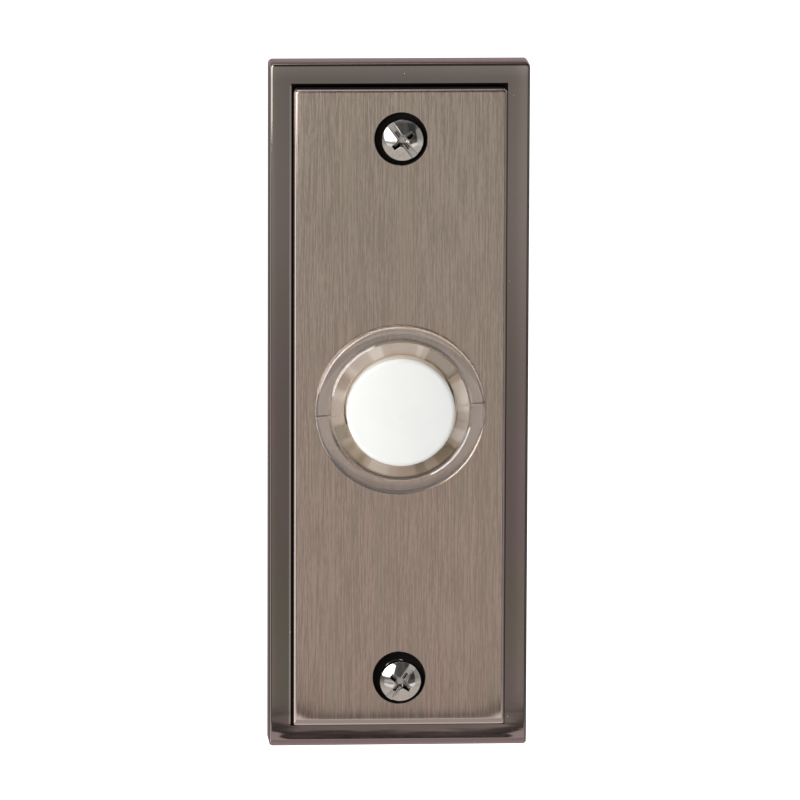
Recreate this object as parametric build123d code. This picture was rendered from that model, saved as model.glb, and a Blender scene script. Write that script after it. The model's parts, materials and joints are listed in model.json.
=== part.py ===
from build123d import *
import os
from math import asin, cos, radians, sin, tan

# Lighted doorbell push button for a door frame, in millimetres.
# Every piece is modelled lying on its back: X right, Y up the door, Z out from the wall.
# place() then stands it against the wall: X right, Z up, the front facing -Y and the wall at Y = 0.

# Frame
frame_width = 38.1
frame_height = 101.6
frame_depth = 5.8
frame_wall = 1.9
frame_web = 1.8
frame_corner = 0.65
frame_edge = 0.4
frame_lower_edge = 1.1
frame_draft = 0.5
frame_inner_corner = 2.0

# Face plate
border = 3.5
plate_rise = 2.5
plate_skin = 1.6
plate_wall = 1.5
plate_corner = 0.65
plate_edge = 0.5
plate_lower_edge = 1.1
hole_edge = 0.2
plate_inner_corner = 1.5
window_ledge = 0.3
locating_gap = 0.15
tab_length = 7.0
tab_thickness = 1.2
tab_drop = 1.2

# Mounting screws and the bosses that they pass through
mount_inset = 10.8
head_diameter = 6.05
head_rim = 1.4
head_dome = 0.95
head_side_gap = 0.8
counterbore_edge = 0.12
head_stand = 0.7
screw_diameter = 3.5
screw_neck_diameter = 2.9
screw_length = 25.4
screw_point = 4.0
screw_tip_radius = 0.3
screw_hole_gap = 0.65
boss_wall = 1.2
boss_setback = 0.2
boss_rib = 1.2
slot_width = 1.0
slot_depth = 1.05
cross_span = 3.7
cross_arm = 0.9
cross_core_radius = 0.9
cross_depth = 1.7
cross_taper = 12.0
upper_screw_turn = 128.0
lower_screw_turn = 54.0
upper_screw_offset = (0.26, -0.24)
lower_screw_offset = (0.24, -0.70)

# Button and clear bezel
button_diameter = 15.9
button_gap = 0.25
button_stand = 1.9
button_dome = 0.75
button_edge = 0.7
button_wall = 1.2
press_travel = 1.5
collar_wall = 1.9
collar_gap = 0.15
flange_overlap = 2.3
flange_thickness = 1.0
flange_edge = 0.6
bore_edge = 0.35
seam_turn = 4.4
seam_width = 0.14
seam_depth = 0.10
push_ring_width = 1.75
push_ring_thickness = 0.4
push_ring_gap = 0.02
push_ring_teeth = 8
tooth_notch = 1.3
tooth_depth = 0.9

# Button stem, lugs and moving contact
lug_count = 3
lug_first = 90.0
lug_half_angle = 11.0
lug_thickness = 0.8
lug_inset = 0.2
lug_gap = 0.02
lug_clearance = 0.28
stem_wall = 0.8
stem_shoulder = 0.6
stem_rib = 0.8
rib_gap = 0.8
stem_tail = 0.15
contact_thickness = 0.35
contact_side_gap = 0.3
contact_fit = 0.05
contact_bump = 0.25
contact_bump_radius = 0.5
contact_gap = 0.02
clip_thickness = 0.25
clip_width = 0.6
clip_fit = 0.02

# Return spring
spring_diameter = 5.6
spring_wire = 0.4
spring_turns = 6.5
spring_side_gap = 0.4
spring_end_gap = 0.03
spring_boss_gap = 0.3
spring_boss_height = 1.0

# Switch base
base_side_gap = 1.15
base_end = 3.0
base_skin = 1.4
base_corner = 2.0
base_rim = 1.0
base_rim_height = 0.8
chamber_gap = 0.7
chamber_wall = 1.2
chamber_floor = 1.2
barrier_height = 1.9
barrier_thickness = 1.0
barrier_gap = 1.4

# Terminals
strip_thickness = 0.5
strip_width = 6.0
strip_neck = 4.0
strip_slot_gap = 0.1
strip_tip_gap = 0.3
strip_tail = 3.5
solder_tab = 1.3
solder_tab_height = 1.2
solder_tab_gap = 1.0
terminal_run = 6.7
terminal_screw_diameter = 3.0
terminal_screw_fit = 0.05
terminal_head_diameter = 6.0
terminal_head_height = 1.4
terminal_screw_reach = 1.5
terminal_slot = 0.9
small_screw_chamfer = 0.4
washer_width = 6.4
washer_thickness = 0.4
washer_corner = 0.6

# Screws that hold the base, frame and plate together
base_screw_run = 8.0
base_screw_diameter = 2.2
base_screw_fit = 0.05
base_screw_hole_gap = 0.2
base_screw_bite = 2.4
base_screw_head_diameter = 4.0
base_screw_head_height = 1.3
base_screw_slot = 0.6
base_boss_wall = 1.5
base_boss_gap = 0.05

# Lamp, resistor and leads
lamp_diameter = 2.0
lamp_height = 1.85
lamp_flange = 0.1
lamp_flange_height = 0.35
lamp_lift = 0.8
lead_diameter = 0.4
lead_spread = 0.55
lead_bend = 0.3
lead_run = 0.6
lead_climb = 0.75
lead_fit = 0.01
resistor_diameter = 1.6
resistor_length = 3.2
resistor_waist = 0.12
resistor_waist_length = 1.6
resistor_edge = 0.4
resistor_turn = 30.0

# Levels out from the wall
level_tolerance = 0.001
frame_front = frame_depth
plate_front = frame_front + plate_rise
plate_back = plate_front - plate_skin
base_front = frame_front - frame_web
base_rear = base_front - base_skin
strip_front = base_rear
floor_front = strip_front - strip_thickness
floor_rear = floor_front - chamber_floor
flange_front = plate_front + flange_thickness
button_rim = flange_front + button_stand
button_apex = button_rim + button_dome
button_ceiling = button_rim - button_wall
lug_rear = strip_front + press_travel + lug_clearance
lug_front = lug_rear + lug_thickness
collar_rear = lug_front + lug_gap
contact_rear = strip_front + press_travel + contact_gap + contact_bump
contact_front = contact_rear + contact_thickness
clip_rear = contact_rear - clip_thickness
stem_end = clip_rear - stem_tail
counterbore_floor = plate_front + head_stand - head_rim - head_dome
washer_rear = floor_front - washer_thickness

# Outlines seen from the front
plate_width = frame_width - 2 * border
plate_height = frame_height - 2 * border
plate_inner_width = plate_width - 2 * plate_wall
plate_inner_height = plate_height - 2 * plate_wall
window_width = plate_inner_width - 2 * window_ledge
window_height = plate_inner_height - 2 * window_ledge
pocket_width = frame_width - 2 * frame_wall
pocket_height = frame_height - 2 * frame_wall
base_width = pocket_width - 2 * base_side_gap

# Radii about the button's axis
button_radius = button_diameter / 2
skirt_radius = button_radius - button_wall
bore_radius = button_radius + button_gap
collar_radius = bore_radius + collar_wall
hole_radius = collar_radius + collar_gap
flange_radius = hole_radius + flange_overlap
lug_radius = collar_radius - lug_inset
chamber_radius = lug_radius + chamber_gap
cup_radius = chamber_radius + chamber_wall
lamp_ring_radius = (button_radius + chamber_radius) / 2
spring_outer = spring_diameter / 2
stem_bore = spring_outer + spring_side_gap
stem_radius = stem_bore + stem_wall
contact_inner = stem_radius + contact_fit
contact_outer = skirt_radius - contact_side_gap
clip_outer = stem_radius + clip_width
contact_point = (clip_outer + contact_outer) / 2

# Places along the door, up from the button's axis
terminal_y = cup_radius + terminal_run
base_screw_y = terminal_y + base_screw_run
base_height = 2 * (base_screw_y + base_end)
mount_y = frame_height / 2 - mount_inset
head_radius = head_diameter / 2
counterbore_radius = head_radius + head_side_gap
screw_radius = screw_diameter / 2
screw_hole_radius = screw_radius + screw_hole_gap
boss_radius = counterbore_radius + boss_wall


def slab(width, height, back, front, corner):
    """A flat block with rounded corners, centred on the button's axis."""
    outline = RectangleRounded(width, height, corner)
    return Pos(0, 0, back) * extrude(outline, front - back)


def disc(radius, back, front, x=0, y=0):
    """A round block from one level to another, on an axis out from the wall."""
    return Pos(x, y, back) * Cylinder(radius, front - back, align=(Align.CENTER, Align.CENTER, Align.MIN))


def block(x_low, x_high, y_low, y_high, back, front):
    """A square block between two corners."""
    size = Box(x_high - x_low, y_high - y_low, front - back, align=(Align.MIN, Align.MIN, Align.MIN))
    return Pos(x_low, y_low, back) * size


def turned(*segments):
    """A solid turned about the wall's normal, from edges of (radius, level) points."""
    face = make_face(Wire(Curve() + list(segments)).edges())
    return revolve(Plane.XZ * face, Axis.Z)


def dome_arc(radius, level, rise):
    """Half the outline of a spherical dome: from its rim at a level to its top on the axis."""
    sphere = (radius**2 + rise**2) / (2 * rise)
    half_angle = asin(radius / abs(sphere)) / 2
    middle = (abs(sphere) * sin(half_angle), level + rise - sphere * (1 - cos(half_angle)))
    return ThreePointArc((radius, level), middle, (0, level + rise))


def front_edges(solid, level):
    """The edges of a solid that lie in one level."""
    return solid.edges().filter_by_position(Axis.Z, level - level_tolerance, level + level_tolerance)


def soften_lower_edge(body, height, back, front, radius):
    """Round the lower front edge of a block, where polishing has worn it more than the other edges."""
    tool = block(-frame_width, frame_width, -height / 2, height, back, front)
    lower = front_edges(tool, front).sort_by(Axis.Y)[0]
    return body & fillet(lower, radius)


def both_ends(shape):
    """A shape and its copy turned half a turn about the button's axis."""
    return [shape, Rot(0, 0, 180) * shape]


def base_frame():
    outline = RectangleRounded(frame_width, frame_height, frame_corner)
    body = extrude(outline, frame_front, taper=frame_draft)
    body = fillet(front_edges(body, frame_front), frame_edge)
    body = soften_lower_edge(body, frame_height, 0, frame_front, frame_lower_edge)
    body -= slab(pocket_width, pocket_height, 0, base_front, frame_inner_corner)
    body -= slab(window_width, window_height, base_front, frame_front, plate_inner_corner)
    return body


def locating_tab():
    """A tab on the plate's inner wall that drops into the frame's window, at the upper right."""
    outer = window_width / 2 - locating_gap
    inner = outer - tab_thickness
    low = mount_y - boss_radius - tab_length
    high = low + tab_length
    root = block(inner, plate_inner_width / 2 + plate_wall / 2, low, high, frame_front, plate_back)
    return root + block(inner, outer, low, high, frame_front - tab_drop, frame_front)


def mounting_boss():
    """The tube round the upper mounting screw, with ribs to the plate's side walls."""
    boss = disc(boss_radius, boss_setback, plate_back, y=mount_y)
    half = plate_inner_width / 2 + plate_wall / 2
    ribs = block(-half, half, mount_y - boss_rib / 2, mount_y + boss_rib / 2, frame_front, plate_back)
    return boss + ribs


def face_plate():
    body = slab(plate_width, plate_height, frame_front, plate_front, plate_corner)
    body = fillet(front_edges(body, plate_front), plate_edge)
    body = soften_lower_edge(body, plate_height, frame_front, plate_front, plate_lower_edge)
    body -= slab(plate_inner_width, plate_inner_height, frame_front, plate_back, plate_inner_corner)
    tab = locating_tab()
    body += both_ends(tab) + both_ends(mirror(tab, about=Plane.YZ))
    body += both_ends(mounting_boss())
    base_boss_radius = base_screw_diameter / 2 + base_boss_wall
    body += both_ends(disc(base_boss_radius, base_front + base_boss_gap, plate_back, y=base_screw_y))
    body -= disc(hole_radius, plate_back, plate_front)
    body -= both_ends(disc(counterbore_radius, counterbore_floor, plate_front, y=mount_y))
    rims = front_edges(body, plate_front).filter_by(GeomType.CIRCLE).sort_by(SortBy.RADIUS)
    body = fillet(rims[-3:-1], counterbore_edge)
    rims = front_edges(body, plate_front).filter_by(GeomType.CIRCLE).sort_by(SortBy.RADIUS)
    body = fillet(rims[-1], hole_edge)
    body -= both_ends(disc(screw_hole_radius, boss_setback, counterbore_floor, y=mount_y))
    pilot_radius = base_screw_diameter / 2 + base_screw_fit
    pilot_end = base_front + base_boss_gap + base_screw_bite
    body -= both_ends(disc(pilot_radius, base_front + base_boss_gap, pilot_end, y=base_screw_y))
    return body


def clear_bezel():
    body = disc(flange_radius, plate_front, flange_front)
    body = fillet(front_edges(body, flange_front), flange_edge)
    body += disc(collar_radius, collar_rear, plate_front)
    body -= disc(bore_radius, collar_rear, flange_front)
    bore_rim = front_edges(body, flange_front).sort_by(SortBy.RADIUS)[0]
    body = fillet(bore_rim, bore_edge)
    # the moulding's seam, a fine V across the flange on both sides of the button
    half = seam_width / 2
    vee = Polyline((-half, 0), (half, 0), (0, -seam_depth), close=True)
    groove = extrude(Plane.YZ * make_face(vee), flange_radius, both=True)
    return body - Pos(0, 0, flange_front) * Rot(0, 0, seam_turn) * groove


def bezel_push_ring():
    back = plate_back - push_ring_thickness
    ring = disc(hole_radius + push_ring_width, back, plate_back)
    inner = collar_radius + push_ring_gap
    ring -= disc(inner, back, plate_back)
    notch = block(0, inner + tooth_depth, -tooth_notch / 2, tooth_notch / 2, back, plate_back)
    for tooth in range(push_ring_teeth):
        ring -= Rot(0, 0, 360 * (tooth + 0.5) / push_ring_teeth) * notch
    return ring


def button_lug():
    """A stop lug behind the bezel's collar, at the first lug's place."""
    reach = disc(lug_radius, lug_rear, lug_front) - disc(skirt_radius, lug_rear, lug_front)
    far = 2 * lug_radius
    side = far * tan(radians(lug_half_angle))
    wedge = make_face(Polyline((0, 0), (far, -side), (far, side), close=True))
    return Rot(0, 0, lug_first) * (reach & Pos(0, 0, lug_rear) * extrude(wedge, lug_thickness))


def button_cap():
    body = turned(
        Line((0, lug_rear), (button_radius, lug_rear)),
        Line((button_radius, lug_rear), (button_radius, button_rim)),
        dome_arc(button_radius, button_rim, button_dome),
        Line((0, button_apex), (0, lug_rear)),
    )
    body = fillet(front_edges(body, button_rim), button_edge)
    body -= disc(skirt_radius, lug_rear, button_ceiling)
    body += disc(stem_radius, stem_end, button_ceiling)
    body += disc(stem_radius + stem_shoulder, contact_front, button_ceiling)
    reach = skirt_radius + button_wall / 2
    rib = block(-reach, reach, -stem_rib / 2, stem_rib / 2, contact_front + rib_gap, button_ceiling)
    body += [rib, Rot(0, 0, 90) * rib]
    body -= disc(stem_bore, stem_end, button_ceiling)
    for lug in range(lug_count):
        body += Rot(0, 0, 360 * lug / lug_count) * button_lug()
    return body


def moving_contact():
    ring = disc(contact_outer, contact_rear, contact_front) - disc(contact_inner, contact_rear, contact_front)
    bump = disc(contact_bump_radius, contact_rear - contact_bump, contact_rear, y=contact_point)
    return ring + both_ends(bump)


def contact_clip():
    inner = stem_radius + clip_fit
    return disc(clip_outer, clip_rear, contact_rear) - disc(inner, clip_rear, contact_rear)


def return_spring():
    low = floor_front + spring_wire / 2 + spring_end_gap
    high = button_ceiling - spring_wire / 2 - spring_end_gap
    coil_radius = spring_outer - spring_wire / 2
    path = Helix((high - low) / spring_turns, high - low, coil_radius, center=(0, 0, low))
    section = Plane(path @ 0, z_dir=path % 0) * Circle(spring_wire / 2)
    return sweep(section, path=path, is_frenet=True)


def switch_base():
    body = slab(base_width, base_height, base_rear, base_front, base_corner)
    rim = slab(base_width, base_height, base_rear - base_rim_height, base_rear, base_corner)
    rim -= slab(base_width - 2 * base_rim, base_height - 2 * base_rim, base_rear - base_rim_height, base_rear,
                base_corner - base_rim)
    body += rim
    body += disc(cup_radius, floor_rear, base_rear)
    body -= disc(chamber_radius, floor_front, base_front)
    body += disc(spring_outer - spring_wire - spring_boss_gap, floor_front, floor_front + spring_boss_height)
    # ribs on both sides of each terminal, to keep the bell wires apart
    inner = washer_width / 2 + barrier_gap
    low = terminal_y - washer_width / 2
    barrier_rear = base_rear - barrier_height
    barrier = block(inner, inner + barrier_thickness, low, low + washer_width, barrier_rear, base_rear)
    body += both_ends(barrier) + both_ends(mirror(barrier, about=Plane.YZ))
    # each strip passes through a slot under the base, from its terminal into the chamber
    half = strip_width / 2 + strip_slot_gap
    slot = block(-half, half, chamber_radius - chamber_wall, cup_radius, floor_front, base_rear)
    body -= both_ends(slot)
    screw_hole = terminal_screw_diameter / 2 + base_screw_hole_gap
    body -= both_ends(disc(screw_hole, base_rear, base_front, y=terminal_y))
    fixing_hole = base_screw_diameter / 2 + base_screw_hole_gap
    body -= both_ends(disc(fixing_hole, base_rear, base_front, y=base_screw_y))
    return body


def terminal_strip():
    """The upper brass strip: a contact tip in the chamber, a solder tab and a terminal."""
    tip = clip_outer + strip_tip_gap
    end = terminal_y + strip_tail
    neck_end = chamber_radius - solder_tab_gap
    half = strip_width / 2
    neck = strip_neck / 2
    body = block(-neck, neck, tip, cup_radius, floor_front, strip_front)
    body += block(-half, half, chamber_radius, end, floor_front, strip_front)
    body += block(0, neck + solder_tab, neck_end - solder_tab_height, neck_end, floor_front, strip_front)
    return body - disc(terminal_screw_diameter / 2 + terminal_screw_fit, floor_front, strip_front, y=terminal_y)


def terminal_washer():
    washer = Pos(0, terminal_y, 0) * slab(washer_width, washer_width, washer_rear, floor_front, washer_corner)
    hole = terminal_screw_diameter / 2 + terminal_screw_fit
    return washer - disc(hole, washer_rear, floor_front, y=terminal_y)


def slotted_screw(head_diameter, head_height, shank_diameter, shank_length, slot):
    """A screw with a slotted round head, shank along +Z and the head's seat at level 0."""
    head_radius = head_diameter / 2
    head = turned(
        Line((0, 0), (head_radius, 0)),
        Line((head_radius, 0), (head_radius, -head_height / 2)),
        dome_arc(head_radius, -head_height / 2, -head_height / 2),
        Line((0, -head_height), (0, 0)),
    )
    head -= block(-head_radius, head_radius, -slot / 2, slot / 2, -head_height, -head_height / 2)
    shank = disc(shank_diameter / 2, 0, shank_length)
    tip = shank.edges().sort_by(Axis.Z)[-1]
    return head + chamfer(tip, small_screw_chamfer)


def terminal_screw():
    length = base_front + terminal_screw_reach - washer_rear
    screw = slotted_screw(terminal_head_diameter, terminal_head_height, terminal_screw_diameter, length,
                          terminal_slot)
    return Pos(0, terminal_y, washer_rear) * screw


def base_screw():
    length = base_front + base_boss_gap + base_screw_bite - base_screw_fit - base_rear
    screw = slotted_screw(base_screw_head_diameter, base_screw_head_height, base_screw_diameter, length,
                          base_screw_slot)
    return Pos(0, base_screw_y, base_rear) * screw


def mounting_screw(turn):
    """A round-head screw with a slot and a cross recess, its head's seat at level 0 and its point behind."""
    top = head_rim + head_dome
    head = turned(
        Line((0, 0), (head_radius, 0)),
        Line((head_radius, 0), (head_radius, head_rim)),
        dome_arc(head_radius, head_rim, head_dome),
        Line((0, top), (0, 0)),
    )
    head -= block(-head_radius, head_radius, -slot_width / 2, slot_width / 2, top - slot_depth, top)
    cross = Rectangle(cross_span, cross_arm) + Rectangle(cross_arm, cross_span) + Circle(cross_core_radius)
    head -= Pos(0, 0, top) * extrude(cross, -cross_depth, taper=cross_taper)
    # a plain neck as far as the wall, then the threaded stretch at its crest diameter
    neck = disc(screw_neck_diameter / 2, -counterbore_floor, 0)
    thread = disc(screw_radius, screw_point - screw_length, -counterbore_floor)
    point = Pos(0, 0, screw_point - screw_length) * Rot(180, 0, 0) * Cone(
        screw_radius, screw_tip_radius, screw_point, align=(Align.CENTER, Align.CENTER, Align.MIN))
    return Rot(0, 0, turn) * (head + neck + thread + point)


def mounting_screws():
    upper = Pos(upper_screw_offset[0], mount_y + upper_screw_offset[1], counterbore_floor)
    lower = Pos(lower_screw_offset[0], -mount_y + lower_screw_offset[1], counterbore_floor)
    return [upper * mounting_screw(upper_screw_turn), lower * mounting_screw(lower_screw_turn)]


def wire(*points):
    """A round wire lead along a few points, bent at each of them."""
    path = FilletPolyline(*points, radius=lead_bend) if len(points) > 2 else Line(*points)
    return sweep(Plane(path @ 0, z_dir=path % 0) * Circle(lead_diameter / 2), path=path)


def on_lamp_ring(turn, along, level):
    """A point beside the lamp ring: at a turn round it, moved along its tangent."""
    angle = radians(turn)
    x = lamp_ring_radius * cos(angle) - along * sin(angle)
    y = lamp_ring_radius * sin(angle) + along * cos(angle)
    return (x, y, level)


lamp_rear = floor_front + lamp_lift
lead_level = floor_front + lead_diameter / 2 + lead_fit
solder_level = strip_front + lead_diameter / 2
resistor_level = floor_front + resistor_diameter / 2
solder_x = strip_neck / 2 + solder_tab
solder_y = chamber_radius - solder_tab_gap - solder_tab_height / 2


def led_lamp():
    radius = lamp_diameter / 2
    top = lamp_rear + lamp_height
    body = turned(
        Line((0, lamp_rear), (radius, lamp_rear)),
        Line((radius, lamp_rear), (radius, top - radius)),
        RadiusArc((radius, top - radius), (0, top), -radius),
        Line((0, top), (0, lamp_rear)),
    )
    body += disc(radius + lamp_flange, lamp_rear, lamp_rear + lamp_flange_height)
    return Pos(lamp_ring_radius, 0, 0) * body


def led_leads():
    half = resistor_length / 2
    to_resistor = wire(
        (lamp_ring_radius, lead_spread, lamp_rear),
        (lamp_ring_radius, lead_spread, lead_level),
        on_lamp_ring(resistor_turn, -half - lead_run - lead_climb, lead_level),
        on_lamp_ring(resistor_turn, -half - lead_run, resistor_level),
        on_lamp_ring(resistor_turn, -half, resistor_level),
    )
    to_strip = wire(
        (lamp_ring_radius, -lead_spread, lamp_rear),
        (lamp_ring_radius, -lead_spread, lead_level),
        on_lamp_ring(-resistor_turn, -half, lead_level),
        (solder_x + lead_run + lead_climb, -solder_y, lead_level),
        (solder_x + lead_run, -solder_y, solder_level),
        (solder_x - solder_tab / 2, -solder_y, solder_level),
    )
    return [to_resistor, to_strip]


def lamp_resistor():
    end = resistor_diameter / 2
    body = Cylinder(end, resistor_length)
    body = fillet(body.edges().filter_by(GeomType.CIRCLE), resistor_edge)
    waist = Cylinder(end - resistor_waist, resistor_waist_length)
    body -= Cylinder(resistor_diameter, resistor_waist_length) - waist
    x, y, level = on_lamp_ring(resistor_turn, 0, resistor_level)
    return Pos(x, y, level) * Rot(0, 0, resistor_turn) * Rot(90, 0, 0) * body


def resistor_lead():
    half = resistor_length / 2
    return wire(
        on_lamp_ring(resistor_turn, half, resistor_level),
        on_lamp_ring(resistor_turn, half + lead_run, resistor_level),
        (solder_x + lead_run, solder_y, solder_level),
        (solder_x - solder_tab / 2, solder_y, solder_level),
    )


def place(shape):
    """Stand a piece, or a group of pieces, against the wall."""
    pieces = shape if isinstance(shape, list) else [shape]
    stood = [Plane.XZ.location * solid for piece in pieces for solid in piece.solids()]
    return stood[0] if len(stood) == 1 else Compound(children=stood)


nodes = {
    "base_frame": base_frame(),
    "face_plate": face_plate(),
    "clear_bezel": clear_bezel(),
    "bezel_push_ring": bezel_push_ring(),
    "button_cap": button_cap(),
    "moving_contact": moving_contact(),
    "contact_clip": contact_clip(),
    "return_spring": return_spring(),
    "switch_base": switch_base(),
    "upper_terminal_strip": terminal_strip(),
    "lower_terminal_strip": mirror(terminal_strip(), about=Plane.XZ),
    "terminal_screws": both_ends(terminal_screw()),
    "terminal_washers": both_ends(terminal_washer()),
    "base_screws": both_ends(base_screw()),
    "mounting_screws": mounting_screws(),
    "led_lamp": led_lamp(),
    "led_leads": led_leads(),
    "lamp_resistor": lamp_resistor(),
    "resistor_lead": resistor_lead(),
}

os.makedirs("parts", exist_ok=True)
for node, shape in nodes.items():
    export_step(place(shape), f"parts/{node}.step")
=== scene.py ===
import json
from math import cos, floor, pi, radians, sin, tau

import bmesh
import bpy
from mathutils import Matrix, Vector


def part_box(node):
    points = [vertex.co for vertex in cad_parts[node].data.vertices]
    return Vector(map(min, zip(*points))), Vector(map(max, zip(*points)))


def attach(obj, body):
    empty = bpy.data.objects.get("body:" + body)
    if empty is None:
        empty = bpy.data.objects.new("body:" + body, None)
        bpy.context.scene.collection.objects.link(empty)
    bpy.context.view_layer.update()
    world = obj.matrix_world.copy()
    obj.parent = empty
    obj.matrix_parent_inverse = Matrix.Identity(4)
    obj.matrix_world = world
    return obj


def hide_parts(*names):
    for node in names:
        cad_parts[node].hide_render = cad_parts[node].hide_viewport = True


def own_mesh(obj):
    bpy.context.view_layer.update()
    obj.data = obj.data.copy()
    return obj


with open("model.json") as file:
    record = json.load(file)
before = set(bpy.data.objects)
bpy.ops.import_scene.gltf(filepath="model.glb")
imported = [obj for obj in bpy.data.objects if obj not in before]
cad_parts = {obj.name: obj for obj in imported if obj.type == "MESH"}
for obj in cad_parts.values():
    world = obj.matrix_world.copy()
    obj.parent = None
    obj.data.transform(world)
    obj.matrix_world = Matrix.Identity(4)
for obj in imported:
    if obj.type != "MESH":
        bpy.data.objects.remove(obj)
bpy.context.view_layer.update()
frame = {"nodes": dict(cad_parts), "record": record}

# Lighted doorbell push button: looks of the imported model, in metres.
# X right, Z up the door, the front faces -Y and the wall is at Y = 0.
MM = 0.001
NODES = frame["nodes"]

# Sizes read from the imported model
FRAME_LOW, FRAME_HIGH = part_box("base_frame")
PLATE_LOW, PLATE_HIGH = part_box("face_plate")
BEZEL_LOW, BEZEL_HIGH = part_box("clear_bezel")
SPRING_LOW, SPRING_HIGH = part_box("return_spring")
SCREW_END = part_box("mounting_screws")[1].y
FRAME_HEIGHT = FRAME_HIGH.z - FRAME_LOW.z
PLATE_FACE = PLATE_LOW.y
FLANGE_FACE = BEZEL_LOW.y
COLLAR_REAR = BEZEL_HIGH.y
FLANGE_RADIUS = BEZEL_HIGH.x

# Clear bezel, with angles in degrees
COLLAR_RADIUS = 10.1 * MM
BORE_RADIUS = 8.2 * MM
FLANGE_EDGE = 0.6 * MM
FLANGE_LOWER_EDGE = 0.08 * MM
FLANGE_LIFT = 0.02 * MM
FLANGE_STEPS = (0.5, 0.98)
BORE_EDGE = 0.35 * MM
DISH_DEPTH = 0.2 * MM
DISH_STEPS = (0.05, 0.35, 0.65, 0.97)
GROOVE_WIDTH = 0.5 * MM
GROOVE_DEPTH = 0.10 * MM
CREASE = 0.03 * MM
COLLAR_EDGE = 0.1 * MM
SEAM_TURN = 4.4
SEAM_SPACE = 2.0
SEAM_PLACES = (-2, -1, 0, 1, 2)
SEAM_WIDTH = 0.14 * MM
SEAM_DEPTH = 0.10 * MM
BEZEL_COLUMNS = 256
BEZEL_SHARP = 20
BORE_TOP = FLANGE_FACE + DISH_DEPTH + BORE_EDGE

# Screw holes and mounting screws
HOLE_RISE = 40.0 * MM
HOLE_RADIUS = 3.825 * MM
SCREW_PLACES = ((0.26 * MM, 39.76 * MM), (0.24 * MM, -40.70 * MM))
SCREW_POINT = 4.0 * MM
SCREW_TIP = 0.3 * MM
THREAD_CREST = 1.75 * MM
THREAD_ROOT = 1.3 * MM
THREAD_PITCH = 1.27 * MM
THREAD_STEEPNESS = 1.6
THREAD_RUN_OUT = 2.0
THREAD_SIDES = 40
THREAD_STEPS = 10
BEHIND_WALL = 0.01 * MM

# Where a noise field about 0.5 takes its low and its high shade
MOTTLE_LOW = 0.3
MOTTLE_HIGH = 0.7

# Return spring
SPRING_WIRE = 0.4 * MM
SPRING_TURNS = 6.5
SPRING_STEPS = 28
SPRING_SIDES = 12


def grey(level):
    """A grey colour, or one roughness as a colour."""
    return (level, level, level)


def material(name):
    """A new node material: itself, its node tree and its principled shader."""
    made = bpy.data.materials.new(name)
    made.use_nodes = True
    return made, made.node_tree, made.node_tree.nodes["Principled BSDF"]


def feed(tree, value, socket):
    """Give an input a number or a colour, or link it to another node's output."""
    if isinstance(value, tuple):
        socket.default_value = (*value, 1)
    elif isinstance(value, (int, float)):
        socket.default_value = value
    else:
        tree.links.new(value, socket)


def math(tree, operation, *values):
    """A math node on sockets or numbers, as its result socket."""
    made = tree.nodes.new("ShaderNodeMath")
    made.operation = operation
    for place, value in enumerate(values):
        feed(tree, value, made.inputs[place])
    return made.outputs[0]


def chain(tree, operation, first, *others):
    """The same math step over a row of sockets or numbers, from the left."""
    for other in others:
        first = math(tree, operation, first, other)
    return first


def product(tree, *values):
    """All the values multiplied: for masks of 0 and 1, where all of them hold."""
    return chain(tree, "MULTIPLY", *values)


def total(tree, *values):
    """All the values added."""
    return chain(tree, "ADD", *values)


def largest(tree, *values):
    """The largest of the values: for masks of 0 and 1, where any of them holds."""
    return chain(tree, "MAXIMUM", *values)


def difference(tree, first, second):
    """The first value less the second."""
    return math(tree, "SUBTRACT", first, second)


def above(tree, value, limit):
    """1 where a value is above a limit, and 0 elsewhere."""
    return math(tree, "GREATER_THAN", value, limit)


def under(tree, value, limit):
    """1 where a value is under a limit, and 0 elsewhere."""
    return math(tree, "LESS_THAN", value, limit)


def absolute(tree, value):
    """A value without its sign."""
    return math(tree, "ABSOLUTE", value)


def length_of(tree, first, second):
    """The distance that two sockets across each other make."""
    return math(tree, "SQRT", total(tree, product(tree, first, first), product(tree, second, second)))


def ramp(tree, factor, *stops):
    """A colour ramp of (place, colour or grey) stops, as its colour socket."""
    made = tree.nodes.new("ShaderNodeValToRGB")
    elements = made.color_ramp.elements
    while len(elements) < len(stops):
        elements.new(1)
    for element, (place, shade) in zip(elements, stops):
        element.position = place
        element.color = (*shade, 1) if isinstance(shade, tuple) else (*grey(shade), 1)
    feed(tree, factor, made.inputs[0])
    return made.outputs[0]


def mottled(tree, field, low, high):
    """A field about 0.5 as shades from a low to a high colour or grey."""
    return ramp(tree, field, (MOTTLE_LOW, low), (MOTTLE_HIGH, high))


def spread(tree, value, low, high):
    """A value's stretch from low to high, mapped smoothly to 0 to 1 and held there."""
    made = tree.nodes.new("ShaderNodeMapRange")
    made.interpolation_type = "SMOOTHSTEP"
    made.inputs["From Min"].default_value = low
    made.inputs["From Max"].default_value = high
    feed(tree, value, made.inputs["Value"])
    return made.outputs[0]


def blend_colours(tree, factor, first, second):
    """Two colours, sockets or values, mixed by a factor."""
    made = tree.nodes.new("ShaderNodeMix")
    made.data_type = "RGBA"
    for name, value in (("Factor_Float", factor), ("A_Color", first), ("B_Color", second)):
        feed(tree, value, next(s for s in made.inputs if s.identifier == name))
    return next(s for s in made.outputs if s.identifier == "Result_Color")


def combine(tree, **parts):
    """A vector from sockets or numbers for its X, Y and Z, with 0 for those left out."""
    made = tree.nodes.new("ShaderNodeCombineXYZ")
    for name, value in parts.items():
        feed(tree, value, made.inputs[name])
    return made.outputs[0]


def axes(tree, vector):
    """The X, Y and Z of a vector socket."""
    made = tree.nodes.new("ShaderNodeSeparateXYZ")
    feed(tree, vector, made.inputs[0])
    return made.outputs["X"], made.outputs["Y"], made.outputs["Z"]


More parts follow.
